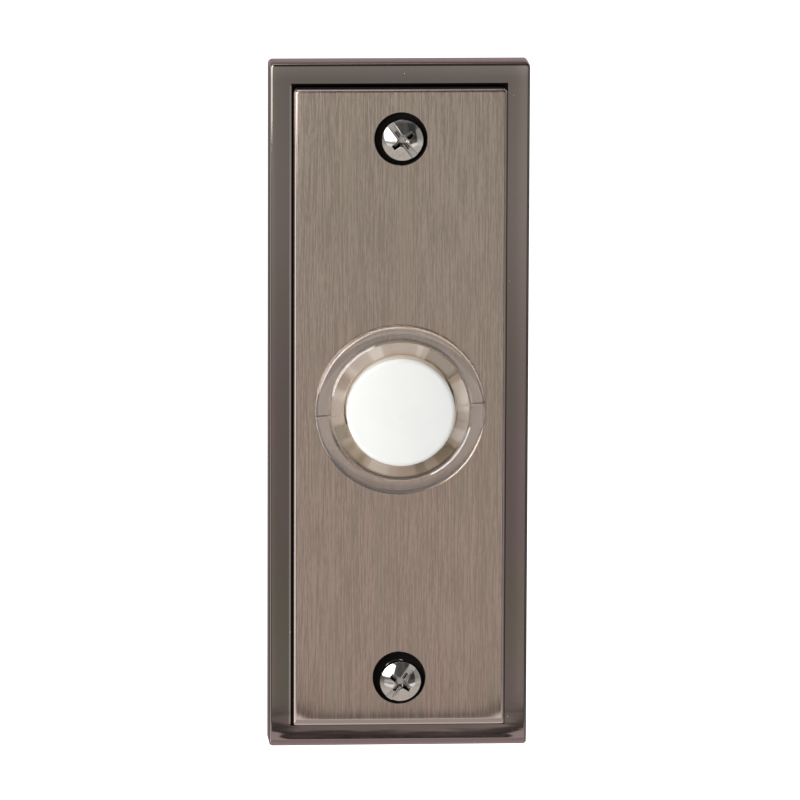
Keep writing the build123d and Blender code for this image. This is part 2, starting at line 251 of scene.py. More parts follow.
def position(tree, stretch=(1, 1, 1)):
    """The object's own coordinates, stretched."""
    place = tree.nodes.new("ShaderNodeTexCoord").outputs["Object"]
    made = tree.nodes.new("ShaderNodeMapping")
    made.inputs["Scale"].default_value = stretch
    feed(tree, place, made.inputs["Vector"])
    return made.outputs[0]


def place_axes(tree):
    """The X, Y and Z of the object's own coordinates."""
    return axes(tree, position(tree))


def normal_axes(tree):
    """The X, Y and Z of the surface's direction."""
    return axes(tree, tree.nodes.new("ShaderNodeNewGeometry").outputs["Normal"])


def facing_front(tree):
    """How squarely a surface faces the front: 1 on the face, 0 on the sides and -1 on the back."""
    return product(tree, normal_axes(tree)[1], -1.0)


def noise(tree, scale, detail=2.0, stretch=(1, 1, 1), vector=None):
    """A noise value about 0.5 at a vector or a stretched position, with features of about 1/scale."""
    made = tree.nodes.new("ShaderNodeTexNoise")
    made.inputs["Scale"].default_value = scale
    made.inputs["Detail"].default_value = detail
    feed(tree, position(tree, stretch) if vector is None else vector, made.inputs["Vector"])
    return made.outputs["Fac"]


def bump(tree, height, distance, below=None):
    """A bump of a height socket, on top of another bump or normal if there is one."""
    made = tree.nodes.new("ShaderNodeBump")
    made.inputs["Distance"].default_value = distance
    feed(tree, height, made.inputs["Height"])
    if below is not None:
        feed(tree, below, made.inputs["Normal"])
    return made.outputs[0]


def roll_off(tree, distance, depth, reach):
    """A height that falls away towards an edge: by a depth at the edge, fading over a reach."""
    fade = math(tree, "EXPONENT", math(tree, "DIVIDE", distance, -reach))
    return product(tree, fade, -depth)


def from_low_end(tree, low, high):
    """How far a point is from a face's nearest side, its lower end and its nearest lower corner."""
    x, _, z = place_axes(tree)
    side = difference(tree, high.x, absolute(tree, x))
    end = difference(tree, z, low.z)
    return side, end, length_of(tree, side, end)


# Bare casting at the back of frame and plate
CAST_WALL = 0.7 * MM
BACK_TURN = (-0.6, -0.9)
ZINC = {"scale": 700, "detail": 3}
ZINC_DARK = (0.27, 0.255, 0.245)
ZINC_LIGHT = (0.36, 0.345, 0.33)
ZINC_ROUGH = grey(0.42)


def facing_back(tree):
    """1 on faces turned to the wall, and 0 on the others."""
    return spread(tree, facing_front(tree), *BACK_TURN)


def in_hollow(tree):
    """1 on the walls of the frame's hollow back, and 0 on its outside."""
    x, y, z = place_axes(tree)
    across = under(tree, absolute(tree, x), FRAME_HIGH.x - CAST_WALL)
    along = under(tree, absolute(tree, z), FRAME_HIGH.z - CAST_WALL)
    behind = above(tree, y, FRAME_LOW.y + CAST_WALL)
    return product(tree, across, along, behind)


def raw_zinc(tree):
    """Dull grey of a zinc casting that wasn't polished."""
    return mottled(tree, noise(tree, **ZINC), ZINC_DARK, ZINC_LIGHT)


# Polished frame. A zone is where a look begins and where it is full: from the frame's lower end,
# or from the plate for the arris and the joint. A rounding is its depth and its reach.
FRAME_GRAZING = (0.50, 0.38, 0.42, 1)
FRAME_TINT = {"scale": 260, "detail": 1, "stretch": (1, 1, 0.3)}
FRAME_SHADES = ((0.35, (0.157, 0.134, 0.104)), (0.65, (0.173, 0.130, 0.122)))
# Tone zones up the frame: the upper half painted paler and the top band lighter as painted light,
# rosier towards the lower end, and a highlight painted on the lip there.
FRAME_TONE_AND_LIGHT_ZONES = (
    (FRAME_HEIGHT / 2, FRAME_HEIGHT, (0.229, 0.192, 0.168)),
    (FRAME_HEIGHT - 2.6 * MM, FRAME_HEIGHT - 0.4 * MM, (0.296, 0.250, 0.220)),
    (6.0 * MM, 0.3 * MM, (0.232, 0.170, 0.160)),
    (1.3 * MM, 0.7 * MM, (0.290, 0.222, 0.224)),
)
FRAME_HAZE = {"scale": 1800, "detail": 3}
FRAME_ROUGH = (0.04, 0.08)
FRAME_CROWN = (0.10 * MM, 1.1 * MM)
FRAME_CORNER = (0.25 * MM, 2.0 * MM)
TOP_ROUNDING = (0.4 * MM, 0.8 * MM)
UPWARD = 0.5
WAVES = {"scale": 110, "detail": 1, "stretch": (1, 1, 0.4)}
WAVE_DEPTH = 0.02 * MM
STREAKS = {"scale": 420, "detail": 2, "stretch": (0.13, 1, 1)}
STREAK_DEPTH = 0.04 * MM
STREAK_ZONE = (5.0 * MM, 2.0 * MM)
RIPPLE = {"scale": 900, "detail": 1}
RIPPLE_DEPTH = 0.0006 * MM
DUST_APART = 4.0 * MM
DUST_RADIUS = 0.07 * MM
DUST_SHARE = 0.15
DUST_COLOUR = (0.9, 0.88, 0.85)
DUST_ROUGH = grey(0.6)
# A highlight painted on the frame's arris beside the plate, on the left only.
ARRIS_HIGHLIGHT_COLOUR = (0.36, 0.31, 0.28)
ARRIS_HIGHLIGHT_ZONE = (0.62 * MM, 0.5 * MM)
# Shade painted near black in the joint round the plate, reaching above it and narrower on the right.
JOINT_SHADE_COLOUR = (0.008, 0.006, 0.005)
JOINT_SHADE_ZONE = (0.36 * MM, 0.28 * MM)
JOINT_ABOVE_PLATE = 0.22 * MM
JOINT_LESS_ON_RIGHT = 0.1 * MM


def dust_specks(tree):
    """1 on a few fine specks of dust on the front, and 0 elsewhere."""
    x, _, z = place_axes(tree)
    cells = tree.nodes.new("ShaderNodeTexVoronoi")
    cells.voronoi_dimensions = "2D"
    cells.inputs["Scale"].default_value = 1 / DUST_APART
    feed(tree, combine(tree, X=x, Y=z), cells.inputs["Vector"])
    near = under(tree, cells.outputs["Distance"], DUST_RADIUS / DUST_APART)
    chosen = under(tree, axes(tree, cells.outputs["Color"])[0], DUST_SHARE)
    return product(tree, near, chosen)


def round_plate(tree):
    """Masks on the frame beside the plate: a painted highlight on the arris on its left, and painted
    shade in the joint all round, which is narrower on the right."""
    x, _, z = place_axes(tree)
    top = PLATE_HIGH.z + JOINT_ABOVE_PLATE
    middle = (PLATE_LOW.z + top) / 2
    across = difference(tree, absolute(tree, x), PLATE_HIGH.x)
    along = difference(tree, absolute(tree, difference(tree, z, middle)), top - middle)
    narrower = product(tree, above(tree, x, 0.0), JOINT_LESS_ON_RIGHT)
    joint = spread(tree, largest(tree, total(tree, across, narrower), along), *JOINT_SHADE_ZONE)
    on_left = product(tree, under(tree, x, 0.0), under(tree, along, 0.0))
    return product(tree, spread(tree, across, *ARRIS_HIGHLIGHT_ZONE), on_left), joint


def frame_colour(tree, end, dust):
    """Dark nickel in zones, partly painted light, a painted highlight and shade by the plate, and
    dust.
    """
    shade = ramp(tree, noise(tree, **FRAME_TINT), *FRAME_SHADES)
    for begins, full, colour in FRAME_TONE_AND_LIGHT_ZONES:
        shade = blend_colours(tree, spread(tree, end, begins, full), shade, colour)
    arris, joint = round_plate(tree)
    pale_edge = blend_colours(tree, arris, shade, ARRIS_HIGHLIGHT_COLOUR)
    joint_shaded = blend_colours(tree, joint, pale_edge, JOINT_SHADE_COLOUR)
    return blend_colours(tree, dust, joint_shaded, DUST_COLOUR)


def top_edge(tree):
    """A height that rounds the front edge of the frame's top, and is 0 where it doesn't face up."""
    upward = above(tree, normal_axes(tree)[2], UPWARD)
    from_front = difference(tree, place_axes(tree)[1], FRAME_LOW.y)
    return product(tree, roll_off(tree, from_front, *TOP_ROUNDING), upward)


def frame_relief(tree, side, end, corner):
    """Rounded edges, waves from the buffing wheel, streaks near the lower end and a fine ripple."""
    crown = total(tree, roll_off(tree, side, *FRAME_CROWN), roll_off(tree, end, *FRAME_CROWN))
    pillow = total(tree, crown, roll_off(tree, corner, *FRAME_CORNER), top_edge(tree))
    pillowed = bump(tree, pillow, 1.0)
    wavy = bump(tree, noise(tree, **WAVES), WAVE_DEPTH, below=pillowed)
    streaks = product(tree, noise(tree, **STREAKS), spread(tree, end, *STREAK_ZONE))
    streaky = bump(tree, streaks, STREAK_DEPTH, below=wavy)
    return bump(tree, noise(tree, **RIPPLE), RIPPLE_DEPTH, below=streaky)


def polished_frame():
    """Dark nickel plate on a casting: mirror-bright outside, bare zinc at the back."""
    made, tree, shader = material("polished_frame")
    shader.inputs["Metallic"].default_value = 1.0
    shader.inputs["Specular Tint"].default_value = FRAME_GRAZING
    side, end, corner = from_low_end(tree, FRAME_LOW, FRAME_HIGH)
    dust = dust_specks(tree)
    cast = largest(tree, facing_back(tree), in_hollow(tree))
    colour = blend_colours(tree, cast, frame_colour(tree, end, dust), raw_zinc(tree))
    feed(tree, colour, shader.inputs["Base Color"])
    haze = mottled(tree, noise(tree, **FRAME_HAZE), *FRAME_ROUGH)
    dusty = blend_colours(tree, dust, haze, DUST_ROUGH)
    feed(tree, blend_colours(tree, cast, dusty, ZINC_ROUGH), shader.inputs["Roughness"])
    feed(tree, frame_relief(tree, side, end, corner), shader.inputs["Normal"])
    return made


# Brushed plate. A turn is how squarely a surface faces the front where a look begins and is full.
# A grain layer is its share, its scale and its stretch up and down.
GRAIN_LAYERS = ((0.50, 5200, 0.026), (0.28, 4600, 0.15), (0.10, 1300, 0.02), (0.12, 260, 0.04))
GRAIN_SPAN = (0.38, 0.62)
GRAIN_DEPTH = 0.004 * MM
GRAIN_ROUGH = (0.17, 0.23)
ANISOTROPY = 0.95
UPPER_DARK = (0.296, 0.240, 0.195)
LOWER_DARK = (0.350, 0.257, 0.209)
UPPER_LIGHT = (0.394, 0.321, 0.264)
LOWER_LIGHT = (0.467, 0.346, 0.286)
OLIVE = {"scale": 420, "detail": 1, "stretch": (1, 1, 0.06)}
OLIVE_SPAN = (0.5, 0.72)
OLIVE_SHARE = 0.35
OLIVE_COLOUR = (0.360, 0.305, 0.232)
# Paler polished edges: wear with a painted highlight, broadest along the lower edge and its corners.
WEAR_AND_HIGHLIGHT_COLOUR = (0.455, 0.372, 0.357)
WORN_ROUGH = grey(0.1)
WEAR_AND_HIGHLIGHT_END = (1.5 * MM, 0.9 * MM)
WEAR_AND_HIGHLIGHT_CORNER = (2.5 * MM, 1.5 * MM)
# Shade painted near black on the plate's sides, round the rims of its screw holes and inside them.
WALL_SHADE_COLOUR = (0.018, 0.015, 0.014)
WALL_ROUGH = grey(0.5)
FACE_TURN = (0.93, 0.995)
GLOSS_TURN = (0.9, 0.99)
SIDE_TURN = (0.12, 0.02)
RIM_TURN = (0.995, 0.9)
PLATE_END = (0.13 * MM, 0.75 * MM)
PLATE_CORNER = (0.17 * MM, 1.5 * MM)
PLATE_SIDE = (0.08 * MM, 0.45 * MM)
BEZEL_MARGIN = 0.5 * MM
RIM_MARGIN = 0.3 * MM
HOLE_MARGIN = 0.02 * MM
HOLE_START = 0.1 * MM


def brushed_grain(tree):
    """Hairlines up and down, fine ones and broader bands, as one value about 0.5."""
    grain = 0.0
    for share, scale, along in GRAIN_LAYERS:
        layer = product(tree, noise(tree, scale, detail=1, stretch=(1, 1, along)), share)
        grain = total(tree, layer, grain)
    return grain


def plate_colour(tree, grain, end, corner):
    """Warm nickel in hairlines, from grey above to rose below, paler along the lower edge: wear with a
    painted highlight.
    """
    warm = spread(tree, place_axes(tree)[2], PLATE_HIGH.z, PLATE_LOW.z)
    dark = blend_colours(tree, warm, UPPER_DARK, LOWER_DARK)
    light = blend_colours(tree, warm, UPPER_LIGHT, LOWER_LIGHT)
    lined = blend_colours(tree, spread(tree, grain, *GRAIN_SPAN), dark, light)
    olive = spread(tree, noise(tree, **OLIVE), *OLIVE_SPAN)
    face = blend_colours(tree, product(tree, olive, OLIVE_SHARE), lined, OLIVE_COLOUR)
    pale_edge = largest(tree, spread(tree, end, *WEAR_AND_HIGHLIGHT_END), spread(tree, corner, *WEAR_AND_HIGHLIGHT_CORNER))
    return blend_colours(tree, pale_edge, face, WEAR_AND_HIGHLIGHT_COLOUR)


def outside_bezel(tree):
    """1 away from the round hole in the middle of the plate, and 0 in it."""
    x, _, z = place_axes(tree)
    return above(tree, length_of(tree, x, z), COLLAR_RADIUS + BEZEL_MARGIN)


def from_screw_hole(tree):
    """The distance from the axis of the nearer screw hole."""
    x, _, z = place_axes(tree)
    return length_of(tree, x, difference(tree, absolute(tree, z), HOLE_RISE))


def near_screw_holes(tree):
    """1 in and just round the two counterbores, and 0 elsewhere."""
    return under(tree, from_screw_hole(tree), HOLE_RADIUS + RIM_MARGIN)


def in_screw_holes(tree):
    """1 inside the two counterbores, below the plate's face, and 0 elsewhere."""
    inside = under(tree, from_screw_hole(tree), HOLE_RADIUS + HOLE_MARGIN)
    deep = above(tree, place_axes(tree)[1], PLATE_FACE + HOLE_START)
    return product(tree, inside, deep)


def shaded_walls(tree, front):
    """1 on the plate's sides, round the rims of its screw holes and inside them, where shade is
    painted near black, and 0 elsewhere.
    """
    side = product(tree, spread(tree, absolute(tree, front), *SIDE_TURN), outside_bezel(tree))
    rim = product(tree, spread(tree, front, *RIM_TURN), near_screw_holes(tree))
    return largest(tree, side, rim, in_screw_holes(tree))


def plate_relief(tree, grain, across, end, corner):
    """The plate's softly rounded edges, with the grain on them."""
    low = total(tree, roll_off(tree, end, *PLATE_END), roll_off(tree, corner, *PLATE_CORNER))
    pillow = total(tree, low, roll_off(tree, across, *PLATE_SIDE))
    return bump(tree, grain, GRAIN_DEPTH, below=bump(tree, pillow, 1.0))


def brushed_plate():
    """Nickel brushed up and down, edges polished and painted paler, painted shade on sides and in
    holes.
    """
    made, tree, shader = material("brushed_plate")
    shader.inputs["Specular IOR Level"].default_value = 0.0
    shader.inputs["Anisotropic"].default_value = ANISOTROPY
    feed(tree, combine(tree, X=1.0), shader.inputs["Tangent"])
    grain = brushed_grain(tree)
    across, end, corner = from_low_end(tree, PLATE_LOW, PLATE_HIGH)
    front = facing_front(tree)
    face = plate_colour(tree, grain, end, corner)
    edged = blend_colours(tree, spread(tree, front, *FACE_TURN), WEAR_AND_HIGHLIGHT_COLOUR, face)
    wall = shaded_walls(tree, front)
    back = facing_back(tree)
    cast = blend_colours(tree, back, edged, raw_zinc(tree))
    feed(tree, blend_colours(tree, wall, cast, WALL_SHADE_COLOUR), shader.inputs["Base Color"])
    feed(tree, difference(tree, 1.0, wall), shader.inputs["Metallic"])
    satin = mottled(tree, grain, *GRAIN_ROUGH)
    glossy = blend_colours(tree, spread(tree, front, *GLOSS_TURN), WORN_ROUGH, satin)
    dull = largest(tree, wall, back)
    feed(tree, blend_colours(tree, dull, glossy, WALL_ROUGH), shader.inputs["Roughness"])
    feed(tree, plate_relief(tree, grain, across, end, corner), shader.inputs["Normal"])
    return made


# Clear plastic of the bezel
CLEAR_COLOUR = (0.96, 0.91, 0.86)
CLEAR_IOR = 1.58
COAT_IOR = 1.8
COAT_ROUGH = 0.03
SMUDGES = {"scale": 700, "detail": 3}
SMUDGE_STOPS = ((0.45, 0.0), (0.8, 0.03))
FROST_COLOUR = (0.97, 0.88, 0.78)
FROST_ROUGH = grey(0.4)
FROST_MILK = 0.9
COLLAR_MILK = 0.5
# A warm glow painted on the bore wall, standing in for the lamp's light through the plastic.
PAINTED_LAMP_GLOW = (1.0, 0.80, 0.62, 1)
PAINTED_GLOW_STRENGTH = 0.22
# Painted reflection round the collar in light and dark tan shades, and painted shade low down and
# along its lower rim.
REFLECTION_PATCH_SCALE = 1.9
REFLECTION_PATCH_STOPS = (
    (0.41, (0.28, 0.22, 0.14)),
    (0.46, (0.55, 0.44, 0.35)),
    (0.53, (0.58, 0.47, 0.39)),
    (0.58, (0.86, 0.77, 0.68)),
)
LOWER_COLLAR_SHADE = (-0.3, -0.85)
LOWER_COLLAR_SHADE_SHARE = 0.25
LOWER_COLLAR_SHADE_COLOUR = (0.68, 0.58, 0.47)
COLLAR_RIM_SHADE = (COLLAR_RADIUS - 0.6 * MM, COLLAR_RADIUS - 0.1 * MM)
COLLAR_RIM_SHADE_COLOUR = (0.14, 0.10, 0.07)
BORE_MARGIN = 0.03 * MM
REAR_MARGIN = 0.12 * MM
COLLAR_MARGIN = 0.04 * MM
PLATE_MARGIN = 0.05 * MM


def milky_collar(tree, reach, y):
    """1 on the dished front of the collar, round the button, and 0 elsewhere."""
    within = under(tree, reach, COLLAR_RADIUS)
    beyond = above(tree, reach, BORE_RADIUS + BORE_MARGIN)
    return product(tree, within, beyond, under(tree, y, BORE_TOP))


def painted_collar(tree, x, z, reach):
    """Painted reflection in tan shades round the collar, painted shade browner low down and dark along
    its lower rim.
    """
    rise = math(tree, "DIVIDE", z, reach)
    outward = combine(tree, X=math(tree, "DIVIDE", x, reach), Z=rise)
    reflection_patches = ramp(tree, noise(tree, REFLECTION_PATCH_SCALE, detail=1.0, vector=outward), *REFLECTION_PATCH_STOPS)
    lower = spread(tree, rise, *LOWER_COLLAR_SHADE)
    shaded_brown = blend_colours(tree, product(tree, lower, LOWER_COLLAR_SHADE_SHARE), reflection_patches, LOWER_COLLAR_SHADE_COLOUR)
    rim = product(tree, lower, spread(tree, reach, *COLLAR_RIM_SHADE))
    return blend_colours(tree, rim, shaded_brown, COLLAR_RIM_SHADE_COLOUR)


def inside_bore(tree, reach, y):
    """1 on the wall of the bezel's bore, and 0 elsewhere."""
    return product(tree, under(tree, reach, BORE_RADIUS + BORE_MARGIN), above(tree, y, BORE_TOP))


def frosted_faces(tree, inside, reach, y):
    """1 in the bore, on the outside of the collar behind the plate's face and on its rear end."""
    rear = above(tree, y, COLLAR_REAR - REAR_MARGIN)
    beyond = above(tree, reach, COLLAR_RADIUS - COLLAR_MARGIN)
    outside = product(tree, beyond, above(tree, y, PLATE_FACE + PLATE_MARGIN))
    return largest(tree, rear, outside, inside)


def clear_plastic():
    """Clear moulding: collar front milky with painted reflection and shade; frosted inside with a
    painted lamp glow.
    """
    made, tree, shader = material("clear_plastic")
    shader.inputs["IOR"].default_value = CLEAR_IOR
    shader.inputs["Coat Weight"].default_value = 1.0
    shader.inputs["Coat IOR"].default_value = COAT_IOR
    shader.inputs["Coat Roughness"].default_value = COAT_ROUGH
    shader.inputs["Emission Color"].default_value = PAINTED_LAMP_GLOW
    x, y, z = place_axes(tree)
    reach = length_of(tree, x, z)
    inside = inside_bore(tree, reach, y)
    frosted = frosted_faces(tree, inside, reach, y)
    milky = milky_collar(tree, reach, y)
    plain = blend_colours(tree, milky, CLEAR_COLOUR, painted_collar(tree, x, z, reach))
    feed(tree, blend_colours(tree, frosted, plain, FROST_COLOUR), shader.inputs["Base Color"])
    milk = largest(tree, product(tree, frosted, FROST_MILK), product(tree, milky, COLLAR_MILK))
    feed(tree, difference(tree, 1.0, milk), shader.inputs["Transmission Weight"])
    feed(tree, product(tree, inside, PAINTED_GLOW_STRENGTH), shader.inputs["Emission Strength"])
    smudged = ramp(tree, noise(tree, **SMUDGES), *SMUDGE_STOPS)
    feed(tree, blend_colours(tree, frosted, smudged, FROST_ROUGH), shader.inputs["Roughness"])
    return made


# White button, screws, and the plain materials of the inside
BUTTON_CLOUD = {"scale": 220, "detail": 2}
BUTTON_COLOURS = ((0.925, 0.935, 0.905), (0.945, 0.955, 0.925))
BUTTON_SHEEN = {"scale": 900, "detail": 2}
BUTTON_ROUGH = (0.2, 0.26)
BUTTON_GRAIN = {"scale": 1500, "detail": 1}
BUTTON_GRAIN_DEPTH = 0.0006 * MM
METAL_MOTTLE = {"scale": 1500, "detail": 3}
METAL_GRAIN = {"scale": 4500, "detail": 2}
METAL_GRAIN_DEPTH = 0.001 * MM
METAL_ROUGH_SPAN = (0.7, 1.4)
NICKEL_COLOURS = ((0.57, 0.53, 0.49), (0.65, 0.61, 0.57))
NICKEL_ROUGH = (0.07, 0.13)
# Shade painted darker down in the screws' recesses, where they are enclosed.
RECESS_SHADE_COLOUR = (0.28, 0.255, 0.235)
RECESS_SHADE_REACH = 0.9 * MM
RECESS_SHADE_SPAN = (0.88, 0.4)
RECESS_SHADE_SAMPLES = 8
EASED_RADIUS = 0.09 * MM
EASED_SAMPLES = 6
PLASTIC_CLOUD = {"scale": 500, "detail": 3}
PLASTIC_SHEEN = {"scale": 3000, "detail": 2}
PLASTIC_GRAIN = {"scale": 5000, "detail": 2}
PLASTIC_GRAIN_DEPTH = 0.004 * MM
PLASTIC_ROUGH_SPAN = (0.8, 1.2)
RESIN_CLOUD = {"scale": 900}
RESIN_COLOURS = ((0.95, 0.80, 0.52), (0.97, 0.86, 0.62))
RESIN_CLEARNESS = 0.7
RESIN_IOR = 1.53
RESIN_ROUGH = 0.12


def white_plastic():
    """White moulded plastic with a soft gloss."""
    made, tree, shader = material("white_plastic")
    colour = mottled(tree, noise(tree, **BUTTON_CLOUD), *BUTTON_COLOURS)
    feed(tree, colour, shader.inputs["Base Color"])
    feed(tree, mottled(tree, noise(tree, **BUTTON_SHEEN), *BUTTON_ROUGH), shader.inputs["Roughness"])
    feed(tree, bump(tree, noise(tree, **BUTTON_GRAIN), BUTTON_GRAIN_DEPTH), shader.inputs["Normal"])
    return made


def bright_metal(name, dark, light, rough):
    """Plain bright metal with a fine mottle in its colour and gloss."""
    made, tree, shader = material(name)
    shader.inputs["Metallic"].default_value = 1.0
    mottle = noise(tree, **METAL_MOTTLE)
    feed(tree, mottled(tree, mottle, dark, light), shader.inputs["Base Color"])
    glossiest, dullest = (rough * share for share in METAL_ROUGH_SPAN)
    feed(tree, mottled(tree, mottle, glossiest, dullest), shader.inputs["Roughness"])
    feed(tree, bump(tree, noise(tree, **METAL_GRAIN), METAL_GRAIN_DEPTH), shader.inputs["Normal"])
    return made


def screw_nickel():
    """Bright nickel with eased edges, and shade painted darker down in the recesses."""
    made, tree, shader = material("bright_nickel")
    shader.inputs["Metallic"].default_value = 1.0
    openness = tree.nodes.new("ShaderNodeAmbientOcclusion")
    openness.samples = RECESS_SHADE_SAMPLES
    openness.inputs["Distance"].default_value = RECESS_SHADE_REACH
    deep = spread(tree, openness.outputs["AO"], *RECESS_SHADE_SPAN)
    mottle = noise(tree, **METAL_MOTTLE)
    plated = mottled(tree, mottle, *NICKEL_COLOURS)
    feed(tree, blend_colours(tree, deep, plated, RECESS_SHADE_COLOUR), shader.inputs["Base Color"])
    feed(tree, mottled(tree, mottle, *NICKEL_ROUGH), shader.inputs["Roughness"])
    eased = tree.nodes.new("ShaderNodeBevel")
    eased.samples = EASED_SAMPLES
    eased.inputs["Radius"].default_value = EASED_RADIUS
    relief = bump(tree, noise(tree, **METAL_GRAIN), METAL_GRAIN_DEPTH, below=eased.outputs[0])
    feed(tree, relief, shader.inputs["Normal"])
    return made


def moulded_plastic(name, dark, light, rough):
    """Matt moulded plastic with a spark-eroded grain."""
    made, tree, shader = material(name)
    feed(tree, mottled(tree, noise(tree, **PLASTIC_CLOUD), dark, light), shader.inputs["Base Color"])
    glossiest, dullest = (rough * share for share in PLASTIC_ROUGH_SPAN)
    sheen = mottled(tree, noise(tree, **PLASTIC_SHEEN), glossiest, dullest)
    feed(tree, sheen, shader.inputs["Roughness"])
    feed(tree, bump(tree, noise(tree, **PLASTIC_GRAIN), PLASTIC_GRAIN_DEPTH), shader.inputs["Normal"])
    return made


def lamp_resin():
    """Clear tinted resin of the small lamp."""
    made, tree, shader = material("lamp_resin")
    feed(tree, mottled(tree, noise(tree, **RESIN_CLOUD), *RESIN_COLOURS), shader.inputs["Base Color"])
    shader.inputs["Transmission Weight"].default_value = RESIN_CLEARNESS
    shader.inputs["IOR"].default_value = RESIN_IOR
    shader.inputs["Roughness"].default_value = RESIN_ROUGH
    return made


# The finish for each of the record's material slots
MATERIALS = {
    "polished_frame": polished_frame(),
    "brushed_plate": brushed_plate(),
    "clear_plastic": clear_plastic(),
    "white_plastic": white_plastic(),
    "bright_nickel": screw_nickel(),
    "base_plastic": moulded_plastic("base_plastic", (0.72, 0.64, 0.52), (0.80, 0.72, 0.60), 0.45),
    "brass": bright_metal("brass", (0.66, 0.46, 0.20), (0.76, 0.56, 0.28), 0.22),
    "spring_steel": bright_metal("spring_steel", (0.45, 0.44, 0.43), (0.56, 0.55, 0.54), 0.2),
    "lamp_resin": lamp_resin(),
    "tinned_wire": bright_metal("tinned_wire", (0.68, 0.68, 0.68), (0.78, 0.78, 0.78), 0.25),
    "resistor_coat": moulded_plastic("resistor_coat", (0.58, 0.42, 0.24), (0.66, 0.50, 0.30), 0.4),
}


def dress(piece, slot):
    """Give a piece the finish of one of the record's material slots."""
    piece.data.materials.clear()
    piece.data.materials.append(MATERIALS[slot])


for part in frame["record"]["subparts"]:
    dress(NODES[part["node"]], part["material_slot"])


def closed_mesh(name, points, faces):
    """A mesh from points and faces, with its faces turned outward."""
    mesh = bpy.data.meshes.new(name)
    mesh.from_pydata(points, [], faces)
    made = bmesh.new()
    made.from_mesh(mesh)
    bmesh.ops.recalc_face_normals(made, faces=made.faces)
    made.to_mesh(mesh)
    made.free()
    return mesh


def new_piece(name, mesh, slot, body="housing", sharp=35):
    """A new piece from a mesh, smooth but for edges above a sharp angle, that rides on a body."""
    mesh.shade_smooth()
    mesh.set_sharp_from_angle(angle=radians(sharp))
    piece = bpy.data.objects.new(name, mesh)
    bpy.context.scene.collection.objects.link(piece)
    dress(piece, slot)
    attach(piece, body)
    return piece


def grid_faces(rows, columns, close_rows=False):
    """Quads between rows of points that each go round and close."""
    faces = []
    for row in range(rows if close_rows else rows - 1):
        following = (row + 1) % rows
        for column in range(columns):
            beside = (column + 1) % columns
            faces.append((row * columns + column, row * columns + beside,
                          following * columns + beside, following * columns + column))
    return faces


def arc(centre, radius, start, end, steps=8):
    """Points of a round corner in a turned profile: (radius, level) pairs between two angles."""
    turns = [radians(start + (end - start) * step / steps) for step in range(steps + 1)]
    return [(centre[0] + radius * cos(turn), centre[1] + radius * sin(turn)) for turn in turns]


def bezel_profile():
    """The bezel's section as (radius, out) points: up the bore, over the flange, down the collar."""
    front = -FLANGE_FACE
    beneath = -PLATE_FACE + FLANGE_LIFT
    rear = -COLLAR_REAR
    lower = FLANGE_LOWER_EDGE
    dish = front - DISH_DEPTH
    bore = BORE_RADIUS + BORE_EDGE
    groove = COLLAR_RADIUS + GROOVE_WIDTH / 2
    flat = COLLAR_RADIUS + GROOVE_WIDTH
    points = [(BORE_RADIUS, rear)]
    points += arc((bore, dish - BORE_EDGE), BORE_EDGE, 180, 90)
    span = COLLAR_RADIUS - BORE_RADIUS - BORE_EDGE
    points += [(bore + span * step, dish + DISH_DEPTH * step) for step in DISH_STEPS]
    points += [(COLLAR_RADIUS, front)]
    points += [(groove + crease, front - GROOVE_DEPTH) for crease in (-CREASE, CREASE)]
    points += [(flat, front), (flat + CREASE, front)]
    span = FLANGE_RADIUS - FLANGE_EDGE - COLLAR_RADIUS - GROOVE_WIDTH
    points += [(flat + span * step, front) for step in FLANGE_STEPS]
    points += arc((FLANGE_RADIUS - FLANGE_EDGE, front - FLANGE_EDGE), FLANGE_EDGE, 90, 0, steps=16)
    points += arc((FLANGE_RADIUS - lower, beneath + lower), lower, 0, -90, steps=4)
    points += [(COLLAR_RADIUS, beneath)]
    points += arc((COLLAR_RADIUS - COLLAR_EDGE, rear + COLLAR_EDGE), COLLAR_EDGE, 0, -90, steps=3)
    return points


def bezel_turns():
    """Angles round the bezel, each with its place across the seam, or None away from it."""
    half = BEZEL_COLUMNS // 2
    space = radians(SEAM_SPACE)
    turns = []
    for side in range(2):
        seam = radians(SEAM_TURN) + pi * side
        turns += [(seam, offset) for offset in SEAM_PLACES]
        turns += [(seam + space + (pi - 2 * space) * step / half, None) for step in range(half + 1)]
    return turns


def clear_bezel():
    """The clear ring, with the moulding's seam as a fine V across the front of its flange."""
    points = []
    profile = bezel_profile()
    turns = bezel_turns()
    for radius, out in profile:
        for turn, offset in turns:
            level = out
            if offset is not None:
                turn += offset * SEAM_WIDTH / 2 / radius
                if offset == 0:
                    level = min(out, -FLANGE_FACE - SEAM_DEPTH)
            points.append((radius * cos(turn), -level, radius * sin(turn)))
    mesh = closed_mesh("clear_ring", points, grid_faces(len(profile), len(turns), close_rows=True))
    piece = new_piece("clear_ring", mesh, "clear_plastic", sharp=BEZEL_SHARP)
    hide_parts("clear_bezel")


